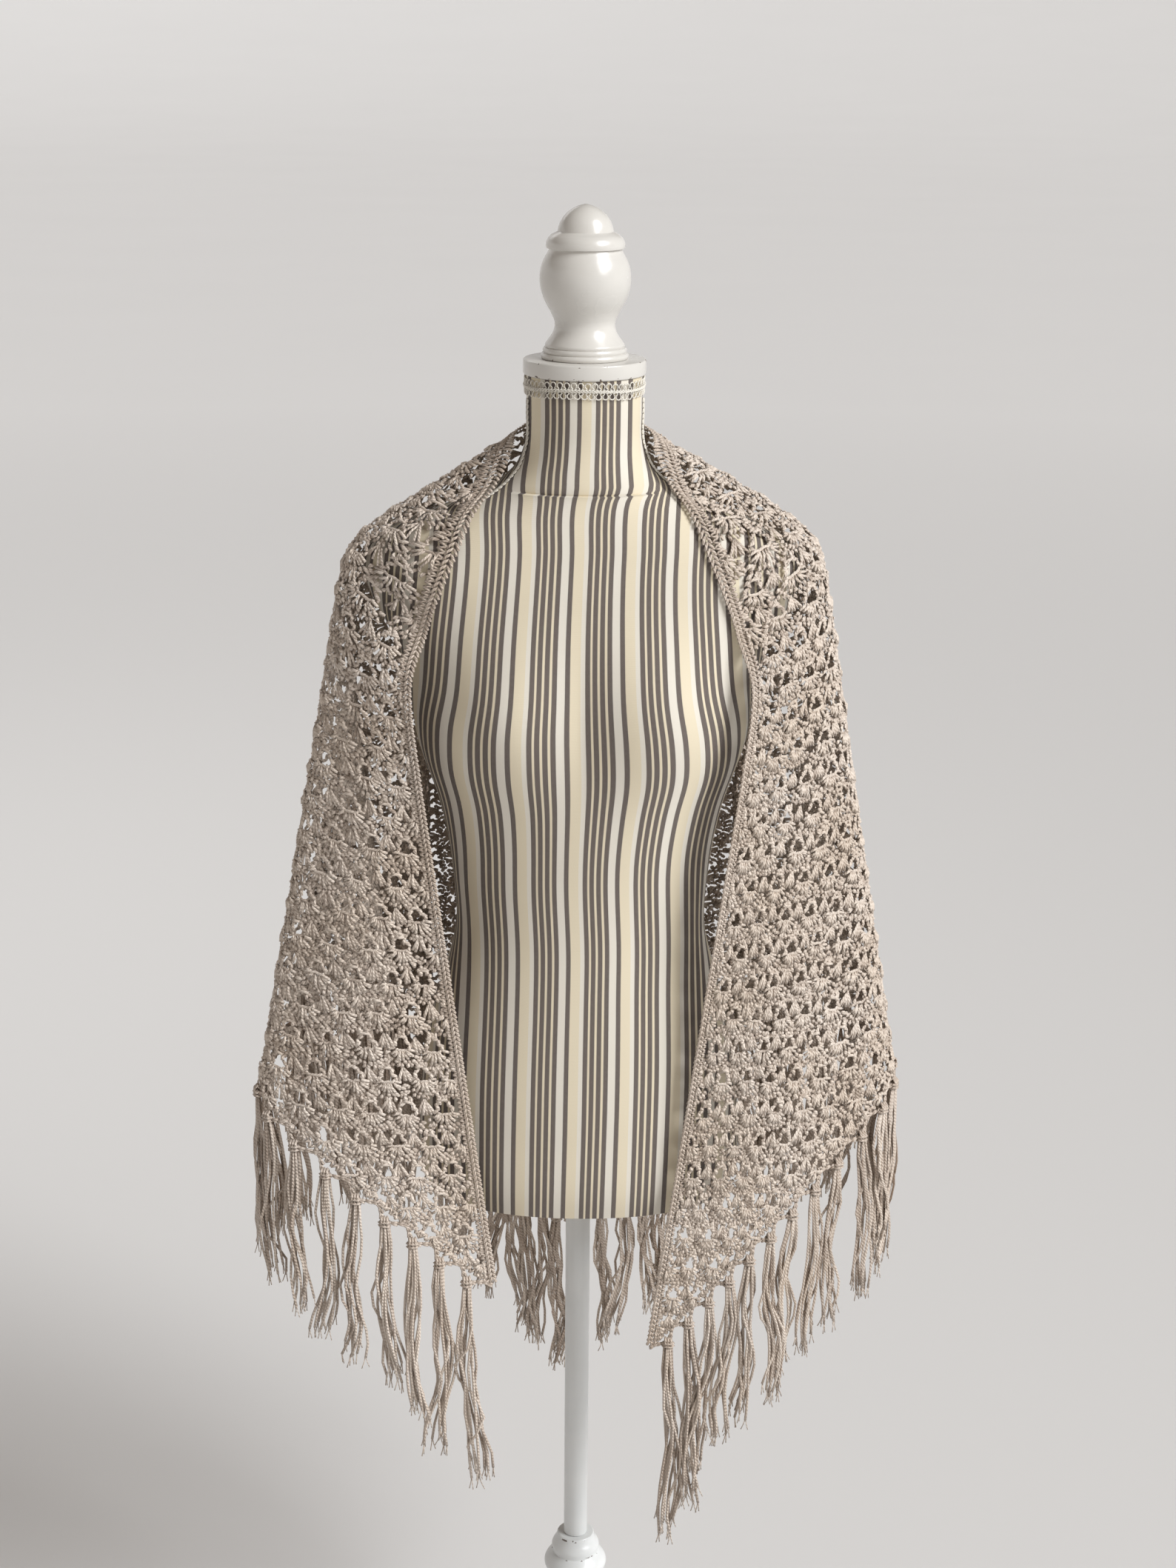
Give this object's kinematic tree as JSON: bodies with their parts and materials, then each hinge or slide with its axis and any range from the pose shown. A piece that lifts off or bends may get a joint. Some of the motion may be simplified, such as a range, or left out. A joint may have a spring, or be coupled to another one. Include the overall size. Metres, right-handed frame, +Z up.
{
  "type": "crocheted lace shawl on a limbless dress form",
  "caption": "Triangular crocheted lace shawl with a worked edge and a knotted tassel fringe, open at the front and draped over a limbless dress form on a turned stand.",
  "frame": {"origin": "centre of the underside of the stand's base, on the floor", "axes": "+Z up along the pole, -Y towards the shawl's open front, +X to the viewer's right from the front"},
  "size_m": [0.5843, 0.34, 1.5208],
  "materials": {
    "yarn": "soft sheen of twisted cotton yarn",
    "ticking": "matte striped twill",
    "gimp": "matte braid",
    "finial_paint": "gloss white paint",
    "stand_paint": "gloss white paint"
  },
  "bodies": {
    "root": {"base": "stand_paint", "hub": "stand_paint", "pole": "stand_paint", "form_torso": "ticking", "neck_braid": "gimp", "shoulder_braid_left": "gimp", "shoulder_braid_right": "gimp", "neck_cap": "finial_paint", "finial": "finial_paint", "shawl_back": "yarn", "shawl_left_shoulder": "yarn", "shawl_right_shoulder": "yarn", "shawl_left_front": "yarn", "shawl_right_front": "yarn", "shawl_left_side": "yarn", "shawl_right_side": "yarn", "edging_left": "yarn", "edging_right": "yarn", "fringe_left_front": "yarn", "fringe_right_front": "yarn", "fringe_left_side": "yarn", "fringe_right_side": "yarn", "fringe_left_back": "yarn", "fringe_right_back": "yarn"}
  },
  "joints": []
}
